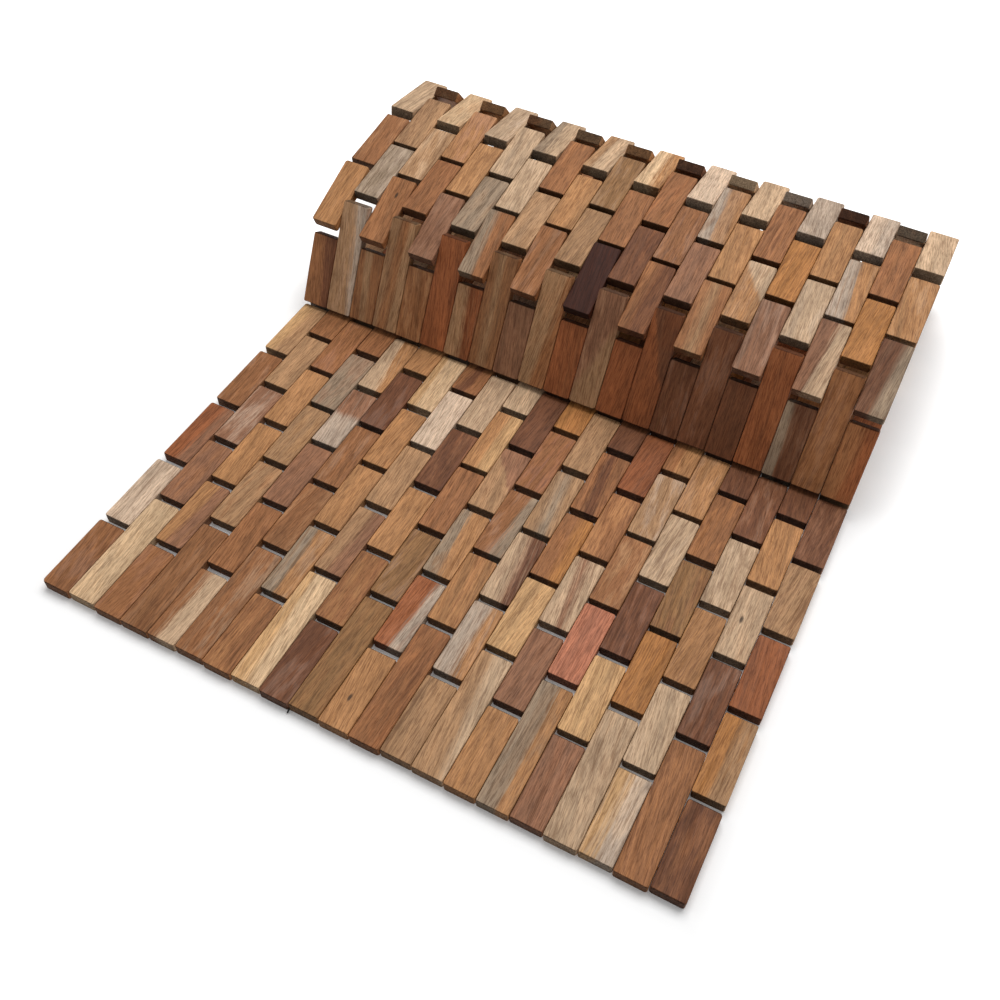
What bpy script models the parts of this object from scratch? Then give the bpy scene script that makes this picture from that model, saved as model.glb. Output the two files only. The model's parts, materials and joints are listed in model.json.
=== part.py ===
"""Roll-up bath mat of small hardwood slats strung on cords, standing half rolled.

Axes: X across the mat, Y from the front edge towards the rolled end, Z up from the floor.
The origin is the centre of the underside of the whole mat's box. Units are metres.
"""

import math

import bpy
import bmesh
from mathutils import Matrix, Vector

NAME = "slat_bath_mat"

# Layout of the weave
COLUMNS = 21
PAIRS = 14
PITCH_X = 0.020
PITCH_Y = 0.058
END_GAP = 0.005
SIDE_GAP = 0.0003
THICK = 0.0075

# Cords and the holes they run in
BORE_R = 0.0017
CORD_R = 0.0011
SIDES = 6
CORD_RECESS = 0.0015
FUSED_RECESS = 0.004

# Bend of each cord line at rest, in degrees, from the line where the mat leaves the floor
FIRST_BENT_LINE = 14
BENDS = (0.8, 1.2, 5.0, 6.7, 89.3, 21.5, 5.6, 43.1, 14.6, 0.0, 0.0, 13.3, 40.4)

# The row that stays put: rows before it turn on their far cord, rows after it on their near one
ROOT_LINE = 10

LINES = 2 * PAIRS
LINE_PITCH = PITCH_Y / 2
OVERHANG = PITCH_Y / 4 - END_GAP / 2
SLAT_WIDTH = PITCH_X - SIDE_GAP
HALF_WIDTH = COLUMNS * PITCH_X / 2 - SIDE_GAP / 2

# Oiled and weathered hardwood tones, from pale sapwood to dark heartwood
TONES = (
    (0.45, 0.27, 0.13),
    (0.36, 0.19, 0.09),
    (0.56, 0.40, 0.24),
    (0.28, 0.14, 0.07),
    (0.40, 0.32, 0.24),
    (0.50, 0.30, 0.12),
)
CORD_TONE = (0.03, 0.028, 0.025)


def collection(name, hidden):
    made = bpy.data.collections.new(name)
    bpy.context.scene.collection.children.link(made)
    made.hide_render = hidden
    return made


def material(name, tone, rough):
    made = bpy.data.materials.new(name)
    made.use_nodes = True
    shader = made.node_tree.nodes["Principled BSDF"]
    shader.inputs["Base Color"].default_value = (*tone, 1.0)
    shader.inputs["Roughness"].default_value = rough
    return made


def rest_lines():
    """Angle of each stretch between cord lines, and where each line is, as lists from line 1."""
    angles = []
    angle = 0.0
    for line in range(1, LINES):
        bent = line - FIRST_BENT_LINE
        if 0 <= bent < len(BENDS):
            angle += math.radians(BENDS[bent])
        angles.append(angle)
    angles.append(angle)
    places = [Vector((0.0, OVERHANG, THICK / 2))]
    for angle in angles[:-1]:
        step = Vector((0.0, math.cos(angle), math.sin(angle))) * LINE_PITCH
        places.append(places[-1] + step)
    return angles, places


def slat_corners(angle, first, last):
    """The four corners of a slat's side, in the YZ plane."""
    along = Vector((0.0, math.cos(angle), math.sin(angle)))
    upward = Vector((0.0, -math.sin(angle), math.cos(angle)))
    ends = (first - along * OVERHANG, last + along * OVERHANG)
    return [end + upward * side for end in ends for side in (-THICK / 2, THICK / 2)]


def centring(angles, places):
    """The move that centres the mat's box on the origin and stands it on the floor."""
    corners = []
    for line in range(1, LINES):
        corners += slat_corners(angles[line - 1], places[line - 1], places[line])
    ys = [corner.y for corner in corners]
    return Vector((0.0, -(min(ys) + max(ys)) / 2, -min(corner.z for corner in corners)))


def columns(odd):
    """X of the middle of each odd or even column."""
    start = 0 if odd else 1
    middle = (COLUMNS - 1) / 2
    return [(index - middle) * PITCH_X for index in range(start, COLUMNS, 2)]


def add_box(mesh, x, y0, y1):
    made = bmesh.ops.create_cube(mesh, size=1.0)
    bmesh.ops.scale(mesh, vec=(SLAT_WIDTH, y1 - y0, THICK), verts=made["verts"])
    bmesh.ops.translate(mesh, vec=(x, (y0 + y1) / 2, 0.0), verts=made["verts"])


def add_rod(mesh, y, radius, half_length):
    turn = Matrix.Rotation(math.pi / 2, 4, "Y")
    made = bmesh.ops.create_cone(
        mesh,
        cap_ends=True,
        segments=SIDES,
        radius1=radius,
        radius2=radius,
        depth=2 * half_length,
    )
    bmesh.ops.rotate(mesh, cent=(0, 0, 0), matrix=turn, verts=made["verts"])
    bmesh.ops.translate(mesh, vec=(0.0, y, 0.0), verts=made["verts"])


def new_object(name, mesh, owner, place):
    data = bpy.data.meshes.new(name)
    mesh.to_mesh(data)
    mesh.free()
    made = bpy.data.objects.new(name, data)
    made.matrix_world = place
    owner.objects.link(made)
    return made


def boolean(target, operation, mesh, cutters):
    """Add an exact Boolean whose operand has the same placement as its target."""
    name = target.name + "." + operation.lower() + str(len(target.modifiers))
    operand = new_object(name, mesh, cutters, target.matrix_world)
    operand.hide_render = True
    operand.display_type = "WIRE"
    modifier = target.modifiers.new(operation.title(), "BOOLEAN")
    modifier.operation = operation
    modifier.solver = "EXACT"
    modifier.object = operand


class Mat:
    """Builds the pieces and keeps the weave's geometry in one place."""

    def __init__(self):
        self.parts = collection(NAME, False)
        self.cutters = collection(NAME + "_cutters", True)
        self.angles, self.places = rest_lines()
        move = centring(self.angles, self.places)
        self.places = [place + move for place in self.places]
        self.made = 0

    def place(self, line, along):
        """World placement of a piece whose own origin is on a cord line."""
        turn = Matrix.Rotation(self.angles[along - 1], 4, "X")
        return Matrix.Translation(self.places[line - 1]) @ turn

    def paint(self, piece, tone, rough=0.6):
        piece.data.materials.append(material(piece.name, tone, rough))

    def slats(self, name, xs, first, last, pivot, own=()):
        """Slats from cord line first to last, drilled at every line that is not their own cord."""
        mesh = bmesh.new()
        y0 = (first - pivot) * LINE_PITCH - OVERHANG
        y1 = (last - pivot) * LINE_PITCH + OVERHANG
        for x in xs:
            add_box(mesh, x, y0, y1)
        piece = new_object(name, mesh, self.parts, self.place(pivot, first))
        self.paint(piece, TONES[self.made % len(TONES)])
        self.made += 1
        for line in range(first, last + 1):
            cutter = bmesh.new()
            y = (line - pivot) * LINE_PITCH
            if line in own:
                outer = FUSED_RECESS if len(xs) > COLUMNS // 2 else CORD_RECESS
                add_rod(cutter, y, CORD_R, HALF_WIDTH - outer)
                boolean(piece, "UNION", cutter, self.cutters)
            else:
                add_rod(cutter, y, BORE_R, HALF_WIDTH + PITCH_X)
                boolean(piece, "DIFFERENCE", cutter, self.cutters)
        return piece

    def cord(self, name, line):
        """A free-standing cord, threaded through every column."""
        mesh = bmesh.new()
        add_rod(mesh, 0.0, CORD_R, HALF_WIDTH - CORD_RECESS)
        piece = new_object(name, mesh, self.parts, self.place(line, line))
        self.paint(piece, CORD_TONE, 0.9)
        return piece

    def front_plate(self):
        """The first three lines: a stiff plate of short and long slats in turn."""
        shorts = columns(True)
        longs = columns(False)
        for column in range(1, COLUMNS + 1):
            odd = column % 2 == 1
            x = shorts[column // 2] if odd else longs[column // 2 - 1]
            last = 2 if odd else 3
            self.slats(f"front_slat_{column:02d}", [x], 1, last, 3)
        self.cord("front_cord_1", 1)
        self.cord("front_cord_2", 2)

    def rows(self):
        """Every full row between the two end plates, each on a cord of its own."""
        for near in range(3, LINES - 2):
            odd = near % 2 == 1
            kind = "odd" if odd else "even"
            name = f"row_{kind}_{(near + odd) // 2:02d}"
            pivot = near if near >= ROOT_LINE else near + 1
            self.slats(name, columns(odd), near, near + 1, pivot, own=(near,))

    def end_plate(self):
        """The last three lines: long slats on the hinge cord, short slats between them."""
        hinge = LINES - 2
        self.slats("end_row_long", columns(False), hinge, LINES, hinge, own=(hinge,))
        for index, x in enumerate(columns(True)):
            name = f"end_slat_{2 * index + 1:02d}"
            self.slats(name, [x], hinge + 1, LINES, hinge)
        self.cord("end_cord_1", hinge + 1)
        self.cord("end_cord_2", hinge + 2)


def main():
    for old in list(bpy.data.objects):
        bpy.data.objects.remove(old, do_unlink=True)
    mat = Mat()
    mat.front_plate()
    mat.rows()
    mat.end_plate()


main()
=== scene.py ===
"""Looks of the slatted bath mat: every slat is its own piece of wood on its own cords."""

import json
import math
import random

import bmesh
import bpy
from mathutils import Matrix, Vector


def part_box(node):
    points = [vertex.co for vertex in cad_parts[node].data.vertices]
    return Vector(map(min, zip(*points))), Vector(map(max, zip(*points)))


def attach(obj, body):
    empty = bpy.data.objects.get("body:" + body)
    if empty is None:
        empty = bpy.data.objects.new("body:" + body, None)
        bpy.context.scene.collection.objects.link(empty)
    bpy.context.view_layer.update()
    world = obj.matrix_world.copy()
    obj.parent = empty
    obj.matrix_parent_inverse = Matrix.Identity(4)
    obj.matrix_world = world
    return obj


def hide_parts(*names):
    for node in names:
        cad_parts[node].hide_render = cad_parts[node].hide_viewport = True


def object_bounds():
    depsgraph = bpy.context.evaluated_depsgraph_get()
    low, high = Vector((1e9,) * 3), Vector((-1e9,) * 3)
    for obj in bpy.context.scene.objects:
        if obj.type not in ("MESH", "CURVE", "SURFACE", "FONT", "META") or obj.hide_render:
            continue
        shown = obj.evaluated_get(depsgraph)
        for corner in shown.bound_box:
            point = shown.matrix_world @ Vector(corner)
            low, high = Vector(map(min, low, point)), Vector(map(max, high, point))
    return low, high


COLUMNS = 21
LINES = 28
PITCH_X = 0.020
SLAT_WIDTH = 0.0198
THICK = 0.0075
OVERHANG = 0.012
BORE_R = 0.0017
CORD_R = 0.0011
CORD_HALF = COLUMNS * PITCH_X / 2 - 0.0016
CORD_WANDER = 0.0001
TIP_R = 0.0007

# Cords that are nodes of their own in the frame, by their line
LOOSE_CORDS = {1: "front_cord_1", 2: "front_cord_2", 27: "end_cord_1", 28: "end_cord_2"}

# A slat's mesh is cut across into this many lengths, so that it can bow
STATIONS = 6
WAVE = 0.00003

# The rounding of the mat's worn front left corner
KNOCKED_ROUND = 0.0028

# How unlike the slats are: each range is drawn from once for every slat
NARROWER = (0.0, 0.00010)
THINNER = (-0.00025, 0.0)
CORNER_ROUND = (0.0010, 0.0019)
EDGE_EASE = (0.00050, 0.00080)
BOW = (-0.00015, 0.00015)
SWAY = (-0.00003, 0.00003)
SPIN = (-0.0015, 0.0015)
TILT = (-0.01, 0.01)
TONE_DRIFT = (0.96, 1.04)

# Where in its log a slat was sawn: the pith's place from it, the place along the log, the slant
PITH_ACROSS = (-0.03, 0.03)
PITH_DEPTH = (0.006, 0.05)
LOG_LENGTH = (0, 40)
SLANT = (-0.13, 0.13)

# How its second tone lies, and how strong dark lines, clouds and weathering are, also where the
# layout calls for lines or clouds
BORDER = (0.0, 0.35)
SOFTNESS = (0.12, 0.40)
LINED, MUCH_LINED = (0.0, 0.35), (0.6, 1.0)
CLOUDY, MUCH_CLOUDED = (0.0, 0.25), (0.4, 0.6)
SILVER = (-0.5, 0.15)
KNOT_LENGTH = 0.0042
KNOT_WIDTH = 0.0017

# A face counts as a sawn end this near the slat's length, and as an edge over this part of the
# easing
END_DEPTH = 0.0004
EDGE_FROM, EDGE_TO = 0.12, 0.88

# Length to add and shift along the mat. Rows that nearly meet another row are held closer
SPREAD = {False: ((0.0001, 0.0013), (-0.0006, 0.0006)), True: ((-0.0008, 0.0), (-0.0004, 0.0))}
SNUG_LINES = (11, LINES - 2, LINES - 1)

# Rows from this line on show their other side, because the mat is rolled back over itself
ROLLED_FROM = 18

# Wood tones as they look in soft daylight
TONES = {
    "n": (0.60, 0.40, 0.25),  # nut brown
    "h": (0.69, 0.495, 0.32),  # honey
    "y": (0.675, 0.455, 0.245),  # golden
    "t": (0.67, 0.515, 0.37),  # tan
    "b": (0.78, 0.615, 0.43),  # buff
    "p": (0.765, 0.645, 0.52),  # pale
    "c": (0.84, 0.71, 0.56),  # cream sapwood
    "w": (0.825, 0.72, 0.62),  # pinkish white
    "g": (0.605, 0.52, 0.43),  # weathered grey
    "G": (0.72, 0.64, 0.565),  # pale grey
    "r": (0.59, 0.345, 0.20),  # red brown
    "d": (0.45, 0.28, 0.18),  # dark heartwood
    "D": (0.25, 0.11, 0.05),  # darkest heartwood
    "m": (0.57, 0.40, 0.295),  # mauve brown
    "o": (0.575, 0.42, 0.265),  # olive
    "T": (0.73, 0.465, 0.35),  # terracotta
}

# Each slat across the mat, by the cord line where its row starts: main tone, second tone, and
# how the second one lies: . faint, < left, > right, | middle stripe, ^ far end, / lower right,
# s upper right, = along dark grain lines, ~ cloudy, * round knots
ROWS = {
    ("odd", 1): "nm~ nm~ pn< nh~ dm. ht* to= hh. mr. Gb< dn~",
    ("even", 1): "cb. no. ng~ cb< on. nr= tp> gh> pt= nh=",
    ("odd", 3): "wp. hm> nn. hg< no~ rG> Gh> md= bt= pg~ yt>",
    ("even", 4): "mn~ tn~ nt~ tm> on= hn~ bh. TT. yn. dm.",
    ("odd", 5): "rm> hh. mn. ht. ht. hg< pd> pm| dr= hn. rd~",
    ("even", 6): "mG~ to~ nh. th. nm. ng> ny> nt~ od~ pn*",
    ("odd", 7): "nh. ht. Gm^ hy. dn~ tms tg| nh~ pt= pG= tm=",
    ("even", 8): "th. gm~ dd~ wG. hb> nr~ nd| tG~ ny. ho.",
    ("odd", 9): "tb< nr. ph> cb< pd= dm. to. rd~ hb. dn~ dm~",
    ("even", 10): "nh. nr. hn. nd| pb. yn. dn. hn< dm. dn.",
    ("odd", 21): "pt. ct~ pG~ pg< pt< ch> wc. pt. Gt. wG> pw.",
    ("even", 22): "tm. hT. pG. nh. ot. nr. hG< nm= hb. nr.",
    ("odd", 23): "nt. tp~ hb. pG. hb. nh. nm= hb. yn. hG< hb.",
    ("even", 24): "gG~ nd. gt. tp. to. dn. mn. hps pG. yh.",
    ("odd", 25): "hy. nt* mG= ng< ng= DD. dn< nt| mG. pm< dg>",
    ("even", 26): "tG> tn| rr. nt| tn> mt/ rds dn. rn. no.",
    ("odd", 27): "nd> nt| nt~ tr> mt. rh= rd. do. dr. dg< nr>",
}
USUAL_TONES = "nnnnhhhyttbpcwgGrrdmmo"
USUAL_LAYOUTS = "....===~~<>|s"

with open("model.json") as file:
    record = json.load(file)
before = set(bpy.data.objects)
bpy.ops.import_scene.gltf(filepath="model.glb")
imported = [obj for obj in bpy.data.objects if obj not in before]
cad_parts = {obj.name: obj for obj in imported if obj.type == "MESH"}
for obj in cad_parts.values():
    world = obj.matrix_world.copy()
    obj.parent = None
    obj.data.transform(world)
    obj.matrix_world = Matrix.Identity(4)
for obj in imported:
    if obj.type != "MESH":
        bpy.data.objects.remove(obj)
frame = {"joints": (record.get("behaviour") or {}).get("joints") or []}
CAD_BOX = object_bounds()


def linear(tone):
    """Scene-linear value of a tone given as it looks on a screen."""
    return tuple(v / 12.92 if v < 0.04 else ((v + 0.055) / 1.055) ** 2.4 for v in tone)


# ---------------------------------------------------------------- camera and light

FOCUS = Vector((0.20512, -0.46108, 0.55696))
LENS = 38.969
HEADING, DIP, ROLL = (math.radians(angle) for angle in (26.909, 51.557, 0.865))

SKY = 0.33
PAPER = (0.95, 0.95, 0.95, 1)
GLOW_UNDER_MAT = 0.10
GLOW_AWAY = 0.50
GLOW_REACH = 0.06


def make_camera():
    data = bpy.data.cameras.new("camera")
    data.sensor_width = 36.0
    data.lens = LENS
    data.clip_start = 0.02
    camera = bpy.data.objects.new("camera", data)
    bpy.context.scene.collection.objects.link(camera)
    turn = Matrix.Rotation(HEADING, 4, "Z") @ Matrix.Rotation(math.pi / 2 - DIP, 4, "X")
    camera.matrix_world = Matrix.Translation(FOCUS) @ turn @ Matrix.Rotation(ROLL, 4, "Z")
    bpy.context.scene.camera = camera


def make_light(name, place, size, power):
    data = bpy.data.lights.new(name, "AREA")
    data.shape = "RECTANGLE"
    data.size, data.size_y = size
    data.energy = power
    light = bpy.data.objects.new(name, data)
    light.location = place
    light.rotation_mode = "QUATERNION"
    light.rotation_quaternion = (-Vector(place)).to_track_quat("-Z", "Y")
    bpy.context.scene.collection.objects.link(light)


def make_studio():
    """Even sky, a wide lamp above the back of the mat, a weak one at its front left, a floor."""
    world = bpy.data.worlds.new("studio")
    world.use_nodes = True
    background = world.node_tree.nodes["Background"]
    background.inputs["Color"].default_value = (1, 1, 1, 1)
    background.inputs["Strength"].default_value = SKY
    bpy.context.scene.world = world
    make_light("overhead", place=(0.0, 0.72, 1.75), size=(1.7, 1.3), power=31)
    make_light("fill", place=(-1.1, -0.5, 1.1), size=(0.9, 0.7), power=1.5)
    bpy.context.scene.view_settings.view_transform = "Standard"
    bpy.context.scene.view_settings.look = "None"

    mesh = bpy.data.meshes.new("floor")
    floor = bpy.data.objects.new("floor", mesh)
    sheet = bmesh.new()
    bmesh.ops.create_grid(sheet, x_segments=2, y_segments=2, size=6.0)
    sheet.to_mesh(mesh)
    sheet.free()
    mesh.materials.append(floor_material())
    bpy.context.scene.collection.objects.link(floor)


# ---------------------------------------------------------------- materials

# Factors on a slat's own tone
GRAIN_DARK = (0.46, 0.38, 0.33, 1)
GRAIN_PALE = (1.22, 1.20, 1.17, 1)
# Painted shade for the eased edges, where the seams between the slats lie in shadow
EDGE_SHADE = (0.62, 0.58, 0.55, 1)

KNOT = (0.035, 0.02, 0.012, 1)
WEATHERED = (0.30, 0.28, 0.25, 1)
CORD_DARK = (0.012, 0.011, 0.010, 1)
CORD_LIGHT = (0.05, 0.046, 0.042, 1)
CORD_TURNS = 2600

# How fine each feature of the wood is, per metre: along the slat, across it and through it
WOBBLE_FINE = (14, 60, 60)
RINGS_FINE = (900, 900, 900)
BROAD_RINGS_FINE = (260, 260, 260)
STREAKS_FINE = (20, 560, 560)
STRANDS_FINE = (110, 1400, 1400)
FIBRES_FINE = (260, 2600, 2600)
CLOUDS_FINE = (32, 150, 150)
DRIFT_FINE = (11, 130, 130)
SAW_MARKS_FINE = (700, 900, 900)


class Nodes:
    """Small helper that adds shader nodes and links them in one call."""

    def __init__(self, name):
        self.material = bpy.data.materials.new(name)
        self.material.use_nodes = True
        self.tree = self.material.node_tree
        self.shader = self.tree.nodes["Principled BSDF"]

    def add(self, kind, values=(), **settings):
        node = self.tree.nodes.new("ShaderNode" + kind)
        for key, value in settings.items():
            setattr(node, key, value)
        for socket, value in dict(values).items():
            self.plug(node.inputs[socket], value)
        return node

    def plug(self, socket, value):
        if hasattr(value, "is_output"):
            self.tree.links.new(value, socket)
        else:
            socket.default_value = value

    def attribute(self, name, output="Vector"):
        return self.add("Attribute", attribute_name=name).outputs[output]

    def math(self, operation, *values):
        return self.add("Math", dict(enumerate(values)), operation=operation).outputs[0]

    def noise(self, where, scale, detail=4.0, rough=0.55, warp=0.0):
        stretched = self.add("VectorMath", {0: where, 1: scale}, operation="MULTIPLY").outputs[0]
        values = {"Vector": stretched, "Scale": 1.0, "Detail": detail}
        values.update({"Roughness": rough, "Distortion": warp})
        return self.add("TexNoise", values).outputs["Fac"]

    def span(self, value, low, high, to_low=0.0, to_high=1.0):
        values = {0: value, 1: low, 2: high, 3: to_low, 4: to_high}
        return self.add("MapRange", values, interpolation_type="SMOOTHSTEP").outputs[0]

    def mix(self, factor, a, b, blend="MIX"):
        node = self.add("Mix", data_type="RGBA", blend_type=blend)
        self.plug(node.inputs["Factor"], factor)
        self.plug(node.inputs[6], a)
        self.plug(node.inputs[7], b)
        return node.outputs[2]

    def swing(self, noise, reach):
        """How far a noise is from its middle, times how much that counts."""
        return self.math("MULTIPLY", self.math("SUBTRACT", noise, 0.5), reach)

    def gray(self, value):
        return self.add("CombineColor", {0: value, 1: value, 2: value}).outputs[0]


def wood_material():
    """Oiled teak. Each slat brings its own place in the log, its two tones and how they lie."""
    n = Nodes("teak_slat")
    grain = n.attribute("grain")
    across = n.attribute("across", "Fac")
    end = n.attribute("end", "Fac")
    edge = n.attribute("edge", "Fac")
    main = n.attribute("tone_main", "Color")
    second = n.attribute("tone_second", "Color")
    split, fold, soft = n.add("SeparateXYZ", {0: n.attribute("layout")}).outputs
    lined, cloudy, silver = n.add("SeparateXYZ", {0: n.attribute("figure")}).outputs
    knot_along, knot_across, knot_size = n.add("SeparateXYZ", {0: n.attribute("knot")}).outputs
    along, side, height = n.add("SeparateXYZ", {0: grain}).outputs

    # A knot pushes the rings round it
    away = n.math("ADD", n.math("POWER", knot_along, 2), n.math("POWER", knot_across, 2))
    knot = n.math("MULTIPLY", n.math("EXPONENT", n.math("MULTIPLY", away, -1)), knot_size)

    # Growth rings round the pith of the log that the slat was sawn from
    radius = n.math("SQRT", n.math("ADD", n.math("POWER", side, 2), n.math("POWER", height, 2)))
    wobble = n.noise(grain, WOBBLE_FINE, 3, 0.5)
    radius = n.math("ADD", radius, n.math("MULTIPLY", wobble, 0.005))
    radius = n.math("ADD", radius, n.math("MULTIPLY", knot, 0.006))
    where = n.add("CombineXYZ", {0: n.math("MULTIPLY", along, 0.02), 1: radius, 2: 0.0}).outputs[0]
    rings = n.noise(where, RINGS_FINE, 4, 0.62)
    broad_rings = n.noise(where, BROAD_RINGS_FINE, 3, 0.5)
    streak = n.noise(grain, STREAKS_FINE, 5, 0.62)
    strand = n.noise(grain, STRANDS_FINE, 3, 0.65)
    fibre = n.noise(grain, FIBRES_FINE, 3, 0.6)
    cloud = n.noise(grain, CLOUDS_FINE, 4, 0.6, 0.3)
    drift = n.noise(grain, DRIFT_FINE, 2, 0.5)

    # Where the second tone lies
    middle = n.math("SUBTRACT", 0.33, n.math("ABSOLUTE", across))
    sided = n.math("MULTIPLY", split, n.math("SUBTRACT", 1.0, fold))
    place = n.math("ADD", sided, n.math("MULTIPLY", middle, fold))
    reach = n.math("ADD", place, n.swing(drift, 0.7))
    reach = n.math("ADD", reach, n.swing(streak, 0.8))
    reach = n.math("ADD", reach, n.swing(strand, 0.5))
    share = n.span(reach, n.math("MULTIPLY", soft, -1), soft)
    lain = n.math("MULTIPLY", share, n.span(rings, 0.66, 0.50, 0.62, 1.0))
    base = n.mix(lain, main, second)
    patches = n.math("MULTIPLY", n.span(cloud, 0.42, 0.66), cloudy)
    patches = n.math("MAXIMUM", patches, n.span(broad_rings, 0.50, 0.72, 0.0, 0.22))
    base = n.mix(patches, base, second)

    # Grain lines, pores and slow changes of depth
    dark = n.mix(1.0, base, GRAIN_DARK, "MULTIPLY")
    pale = n.mix(1.0, base, GRAIN_PALE, "MULTIPLY")
    lines = n.math("ADD", n.math("MULTIPLY", lined, 0.75), 0.14)
    lines = n.math("MULTIPLY", n.span(rings, 0.53, 0.68), lines)
    base = n.mix(n.span(streak, 0.48, 0.28, 0.0, 0.9), base, pale)
    base = n.mix(n.span(streak, 0.51, 0.72, 0.0, 0.60), base, dark)
    base = n.mix(n.span(strand, 0.49, 0.64, 0.0, 0.70), base, dark)
    base = n.mix(n.span(strand, 0.49, 0.34, 0.0, 1.0), base, pale)
    base = n.mix(lines, base, dark)
    base = n.mix(n.span(fibre, 0.52, 0.68, 0.0, 0.45), base, dark)
    base = n.mix(n.span(knot, 0.45, 0.95, 0.0, 0.85), base, KNOT)
    grey = n.math("MULTIPLY", n.span(cloud, 0.48, 0.64), silver)
    base = n.mix(grey, base, WEATHERED)
    depth = n.span(cloud, 0.3, 0.7, -0.15, 0.15)
    depth = n.math("ADD", depth, n.span(broad_rings, 0.3, 0.7, 0.13, -0.13))
    base = n.mix(1.0, base, n.gray(n.math("ADD", depth, 1.0)), "MULTIPLY")

    # Sawn ends carry end grain deepened with painted shade, and painted shade sits in the eased
    # edges, as in the shadowed seams between the slats
    sawn = n.noise(grain, SAW_MARKS_FINE, 3, 0.6)
    # End faces: end grain tone, made deeper still with painted shade
    end_grain_and_shade = n.mix(1.0, base, n.gray(n.span(sawn, 0.3, 0.7, 0.22, 0.42)), "MULTIPLY")
    base = n.mix(end, base, end_grain_and_shade)
    shaded_edges = n.mix(1.0, base, EDGE_SHADE, "MULTIPLY")
    base = n.mix(n.math("MULTIPLY", edge, n.span(streak, 0.4, 0.6, 0.25, 0.7)), base, shaded_edges)

    n.plug(n.shader.inputs["Base Color"], base)
    rough = n.span(streak, 0.3, 0.75, 0.52, 0.70)
    n.plug(n.shader.inputs["Roughness"], n.math("ADD", rough, n.math("MULTIPLY", end, 0.2)))
    n.shader.inputs["Specular IOR Level"].default_value = 0.2
    relief = n.math("ADD", n.math("MULTIPLY", streak, -0.6), n.math("MULTIPLY", fibre, -0.4))
    relief = n.math("SUBTRACT", relief, n.math("MULTIPLY", lines, 0.25))
    bump = n.add("Bump", {"Height": relief, "Strength": 0.35, "Distance": 0.00035})
    n.plug(n.shader.inputs["Normal"], bump.outputs[0])
    return n.material


def floor_material():
    """White paper that glows more away from the mat, so that the mat's shadow fades out."""
    n = Nodes("floor")
    split = n.add("SeparateXYZ", {0: n.add("TexCoord").outputs["Object"]})
    beside = n.math("SUBTRACT", n.math("ABSOLUTE", split.outputs[0]), CAD_BOX[1].x)
    beyond = n.math("SUBTRACT", n.math("ABSOLUTE", split.outputs[1]), CAD_BOX[1].y)
    away = n.math("MAXIMUM", beside, beyond)
    glow = n.span(away, 0.0, GLOW_REACH, GLOW_UNDER_MAT, GLOW_AWAY)
    n.plug(n.shader.inputs["Emission Strength"], glow)
    n.shader.inputs["Emission Color"].default_value = (1, 1, 1, 1)
    n.shader.inputs["Base Color"].default_value = PAPER
    n.shader.inputs["Roughness"].default_value = 0.9
    return n.material


def cord_material():
    """Black braided polyester cord."""
    n = Nodes("braided_cord")
    where = n.add("TexCoord").outputs["Object"]
    split = n.add("SeparateXYZ", {0: where})
    angle = n.math("ARCTAN2", split.outputs[1], split.outputs[2])
    along = n.math("MULTIPLY", split.outputs[0], CORD_TURNS)
    around = n.math("MULTIPLY", angle, 3)
    one = n.math("SINE", n.math("ADD", along, around))
    two = n.math("SINE", n.math("SUBTRACT", along, around))
    weave = n.math("MULTIPLY", one, two)
    n.plug(n.shader.inputs["Base Color"], n.mix(n.span(weave, -1, 1), CORD_DARK, CORD_LIGHT))
    n.shader.inputs["Roughness"].default_value = 0.85
    bump = n.add("Bump", {"Height": weave, "Strength": 0.6, "Distance": 0.0003})
    n.plug(n.shader.inputs["Normal"], bump.outputs[0])
    return n.material


# ---------------------------------------------------------------- the weave


def line_places():
    """Where each cord line runs, as the middle of the mat, numbered from 1."""

    def middle(node):
        low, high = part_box(node)
        return (low + high) / 2

    places = {1: middle("front_cord_1"), 2: middle("front_cord_2")}
    for joint in frame["joints"]:
        places[int(joint["name"].split("_")[1])] = Vector(joint["pos_m"])
    places[LINES - 1] = middle("end_cord_1")
    places[LINES] = middle("end_cord_2")
    return places


def body_of_row(line):
    """The body on which a row that starts at this cord line rides."""
    if line < 3:
        return "front_plate"
    if line > LINES - 3:
        return "end_plate"
    kind = "odd" if line % 2 else "even"
    return f"row_{kind}_{(line + line % 2) // 2:02d}_body"


def node_of(kind, line, column):
    if line < 3:
        return f"front_slat_{column:02d}"
    if line > LINES - 3:
        return "end_row_long" if kind == "even" else f"end_slat_{column:02d}"
    return body_of_row(line).removesuffix("_body")


def slat_blank(length, rng, knocked):
    """A sawn block with its corners and edges eased, a little different each time."""
    width = SLAT_WIDTH - rng.uniform(*NARROWER)
    thick = THICK + rng.uniform(*THINNER)
    block = bmesh.new()
    bmesh.ops.create_cube(block, size=1.0)
    bmesh.ops.scale(block, vec=(width, length, thick), verts=block.verts)
    corners = [e for e in block.edges if abs(e.verts[0].co.z - e.verts[1].co.z) > thick / 2]
    if knocked:
        outer = [e for e in corners if e.verts[0].co.x < 0 and e.verts[0].co.y < 0]
        corners = [e for e in corners if e not in outer]
        bmesh.ops.bevel(
            block, geom=outer, offset=KNOCKED_ROUND, segments=4, profile=0.5, affect="EDGES"
        )
    rounding = rng.uniform(*CORNER_ROUND)
    bmesh.ops.bevel(
        block, geom=corners, offset=rounding, segments=3, profile=0.5, affect="EDGES"
    )
    ease = rng.uniform(*EDGE_EASE)
    rims = [
        e
        for e in block.edges
        if abs(e.verts[0].co.z - e.verts[1].co.z) < 1e-6
        and len(e.link_faces) == 2
        and any(len(f.verts) > 4 for f in e.link_faces)
    ]
    bmesh.ops.bevel(block, geom=rims, offset=ease, segments=3, profile=0.5, affect="EDGES")
    for cut in range(1, STATIONS):
        y = (cut / STATIONS - 0.5) * length
        bmesh.ops.bisect_plane(
            block,
            geom=block.verts[:] + block.edges[:] + block.faces[:],
            plane_co=(0, y, 0),
            plane_no=(0, 1, 0),
        )
    return block, width, length, thick, ease


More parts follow.
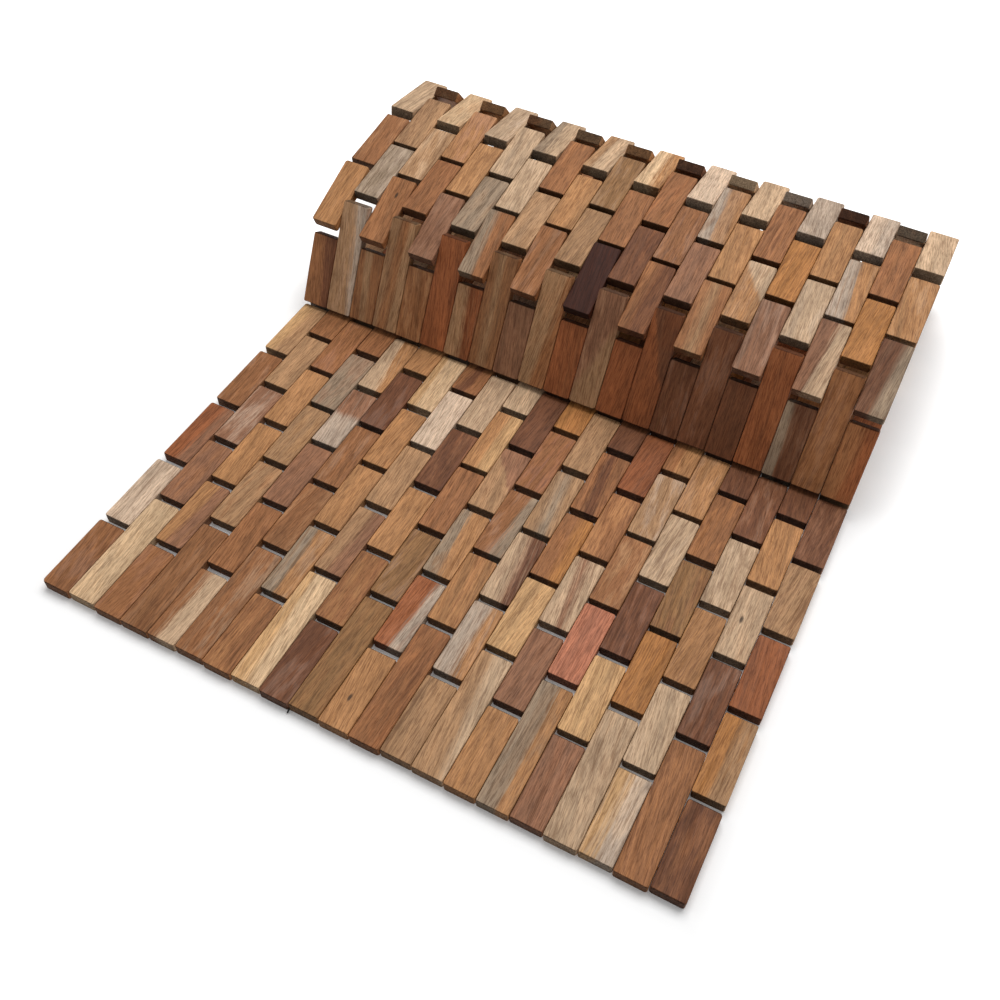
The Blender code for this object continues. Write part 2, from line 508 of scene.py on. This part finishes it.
def bent(block, width, length, rng):
    """Seasoning: a faint bow of the block and waviness of its long sides."""
    bow = rng.uniform(*BOW)
    sway = rng.uniform(*SWAY)
    phase = rng.uniform(0, 6.28)
    for vert in block.verts:
        x, y, z = vert.co
        along = 2 * y / length
        vert.co.z += bow * (1 - along * along)
        wave = WAVE * math.sin(along * 5 + phase) * (2 * x / width)
        vert.co.x += sway * math.sin(along * 2.2 + phase) - wave


def write_attributes(mesh, width, length, thick, ease, tones, layout, flip, rng):
    """Place in the log, face masks and colours, which the wood material reads."""
    pith = (rng.uniform(*PITH_ACROSS), rng.choice((-1, 1)) * rng.uniform(*PITH_DEPTH))
    shift = rng.uniform(*LOG_LENGTH)
    slant = rng.uniform(*SLANT)
    border = rng.uniform(*BORDER)
    diagonal = 1.6 * flip
    fields = {
        "<": (-1.0, 0.0, -border),
        ">": (1.0, 0.0, -border),
        "/": (0.9, -diagonal, -0.2),
        "s": (0.9, diagonal, -0.5),
        "^": (0.0, 3.0 * flip, -0.3),
    }
    by_x, by_y, rise = fields.get(layout, (0.0, 0.0, -1.0))
    eye = (rng.uniform(-0.6, 0.6) * length / 2, rng.uniform(-0.5, 0.5) * width / 2)
    knotted = 1.0 if layout == "*" else 0.0
    soft = rng.uniform(*SOFTNESS)
    count = len(mesh.vertices)
    grain, across, end, edge, place, knot = [], [], [], [], [], []
    for vert in mesh.vertices:
        x, y, z = vert.co
        lean = x + slant * y
        grain += [y + shift, lean - pith[0], z - pith[1]]
        across.append(2 * lean / width)
        end.append(1.0 if abs(y) > length / 2 - END_DEPTH else 0.0)
        inset = (thick / 2 - abs(z), width / 2 - abs(x), length / 2 - abs(y))
        eased = sum(EDGE_FROM * ease < depth < EDGE_TO * ease for depth in inset)
        edge.append(1.0 if eased > 1 else 0.0)
        value = by_x * 2 * lean / width + by_y * 2 * y / length + rise
        place += [value, 1.0 if layout == "|" else 0.0, soft]
        knot += [(y - eye[0]) / KNOT_LENGTH, (x - eye[1]) / KNOT_WIDTH, knotted]
    lined = rng.uniform(*(MUCH_LINED if layout == "=" else LINED))
    cloudy = rng.uniform(*(MUCH_CLOUDED if layout == "~" else CLOUDY))
    silver = max(0.0, rng.uniform(*SILVER))
    for name, kind, field, values in (
        ("grain", "FLOAT_VECTOR", "vector", grain),
        ("layout", "FLOAT_VECTOR", "vector", place),
        ("figure", "FLOAT_VECTOR", "vector", [lined, cloudy, silver] * count),
        ("knot", "FLOAT_VECTOR", "vector", knot),
        ("across", "FLOAT", "value", across),
        ("end", "FLOAT", "value", end),
        ("edge", "FLOAT", "value", edge),
        ("tone_main", "FLOAT_COLOR", "color", [*tones[0], 1.0] * count),
        ("tone_second", "FLOAT_COLOR", "color", [*tones[1], 1.0] * count),
    ):
        mesh.attributes.new(name, kind, "POINT").data.foreach_set(field, values)


def drilled(blank, offsets):
    """The block with its cord holes bored through, for the slats whose sides show them."""
    target = bpy.data.objects.new("blank", blank)
    bpy.context.scene.collection.objects.link(target)
    drills = []
    size = dict(radius1=BORE_R, radius2=BORE_R, depth=0.05)
    for offset in offsets:
        mesh = bpy.data.meshes.new("drill")
        tool = bmesh.new()
        turn = Matrix.Translation((0, offset, 0)) @ Matrix.Rotation(math.pi / 2, 4, "Y")
        bmesh.ops.create_cone(tool, cap_ends=True, segments=20, matrix=turn, **size)
        tool.to_mesh(mesh)
        tool.free()
        drill = bpy.data.objects.new("drill", mesh)
        bpy.context.scene.collection.objects.link(drill)
        cut = target.modifiers.new("bore", "BOOLEAN")
        cut.operation, cut.solver, cut.object = "DIFFERENCE", "EXACT", drill
        drills.append(drill)
    evaluated = target.evaluated_get(bpy.context.evaluated_depsgraph_get())
    mesh = bpy.data.meshes.new_from_object(evaluated)
    for made in [target, *drills]:
        bpy.data.objects.remove(made, do_unlink=True)
    return mesh


def look_of(codes, index, rng):
    """Two tones and a layout: as listed for the slats in the open, or drawn by chance."""
    code = rng.choice(USUAL_TONES) + rng.choice(USUAL_TONES) + rng.choice(USUAL_LAYOUTS)
    if codes:
        code = codes[index]
    drift = rng.uniform(*TONE_DRIFT)
    return [[v * drift for v in linear(TONES[letter])] for letter in code[:2]], code[2]


def make_slat(kind, first, last, column, codes, places, wood):
    rng = random.Random(f"{kind} {first} {column}")
    start, stop = places[first], places[last]
    along = (stop - start).normalized()
    longer, shifted = SPREAD[first in SNUG_LINES]
    length = (stop - start).length + 2 * OVERHANG + rng.uniform(*longer)
    offset = rng.uniform(*shifted)
    block, width, length, thick, ease = slat_blank(length, rng, (first, column) == (1, 1))
    bent(block, width, length, rng)
    mesh = bpy.data.meshes.new("slat")
    block.to_mesh(mesh)
    block.free()
    if column in (1, COLUMNS):
        middle = (start + stop) / 2
        lines = range(first, last + 1)
        mesh = drilled(mesh, [(places[line] - middle).dot(along) - offset for line in lines])
    tones, layout = look_of(codes, (column - 1) // 2, rng)
    flip = 1 if first < ROLLED_FROM else -1
    write_attributes(mesh, width, length, thick, ease, tones, layout, flip, rng)
    mesh.shade_smooth()
    mesh.materials.clear()
    mesh.materials.append(wood)
    slat = bpy.data.objects.new(f"slat_{kind}_{first:02d}_{column:02d}", mesh)
    bpy.context.scene.collection.objects.link(slat)
    crisp = slat.modifiers.new("shading", "WEIGHTED_NORMAL")
    crisp.keep_sharp = True
    crisp.weight = 100
    x = (column - 1 - (COLUMNS - 1) / 2) * PITCH_X
    tilt = math.atan2(along.z, along.y)
    spin = Matrix.Rotation(rng.uniform(*SPIN), 4, "Z")
    spin = spin @ Matrix.Rotation(rng.uniform(*TILT), 4, "Y")
    middle = (start + stop) / 2 + Vector((x, 0, 0)) + along * offset
    slat.matrix_world = Matrix.Translation(middle) @ Matrix.Rotation(tilt, 4, "X") @ spin
    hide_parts(node_of(kind, first, column))
    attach(slat, body_of_row(first))


def make_slats(places, wood):
    """Every slat: two lines long, or three at both ends of the even columns."""
    for kind, start in (("odd", 1), ("even", 2)):
        for column in range(start, COLUMNS + 1, 2):
            line = 1
            while line < LINES:
                long = kind == "even" and line in (1, LINES - 2)
                last = line + (2 if long else 1)
                codes = ROWS.get((kind, line), "").split()
                make_slat(kind, line, last, column, codes, places, wood)
                line = last + 1


def make_cords(places, black):
    """A cord along each line, not quite straight."""
    for line, place in places.items():
        curve = bpy.data.curves.new("cord", "CURVE")
        curve.dimensions = "3D"
        curve.bevel_depth = CORD_R
        curve.bevel_resolution = 3
        curve.use_fill_caps = True
        path = curve.splines.new("POLY")
        path.points.add(COLUMNS * 2)
        rng = random.Random(line)
        for index, point in enumerate(path.points):
            x = (index / (COLUMNS * 2) * 2 - 1) * CORD_HALF
            y = rng.uniform(-CORD_WANDER, CORD_WANDER)
            z = rng.uniform(-CORD_WANDER, CORD_WANDER)
            point.co = (x, y, z, 1)
        curve.materials.append(black)
        cord = bpy.data.objects.new(f"cord_{line:02d}", curve)
        bpy.context.scene.collection.objects.link(cord)
        cord.location = place
        if line in LOOSE_CORDS:
            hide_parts(LOOSE_CORDS[line])
        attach(cord, body_of_row(line))


def make_cord_tip(places, black):
    """The cut end of a cord that peeps out under the front edge, between columns 9 and 10."""
    x = (9.5 - (COLUMNS + 1) / 2) * PITCH_X
    front = places[1].y - OVERHANG
    curve = bpy.data.curves.new("cord_tip", "CURVE")
    curve.dimensions = "3D"
    curve.bevel_depth = TIP_R
    curve.bevel_resolution = 3
    curve.use_fill_caps = True
    path = curve.splines.new("POLY")
    path.points.add(4)
    root = Vector((x, front + 0.0045, 0.0026, 1))
    for index, point in enumerate(path.points):
        step = index / 4
        point.co = root + Vector((0.0003, -0.0068, -0.0016, 0)) * step
        point.radius = 1.0 - 0.35 * step * step
    curve.materials.append(black)
    tip = bpy.data.objects.new("cord_tip", curve)
    bpy.context.scene.collection.objects.link(tip)
    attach(tip, body_of_row(1))


make_camera()
make_studio()
PLACES = line_places()
make_slats(PLACES, wood_material())
BLACK = cord_material()
make_cords(PLACES, BLACK)
make_cord_tip(PLACES, BLACK)
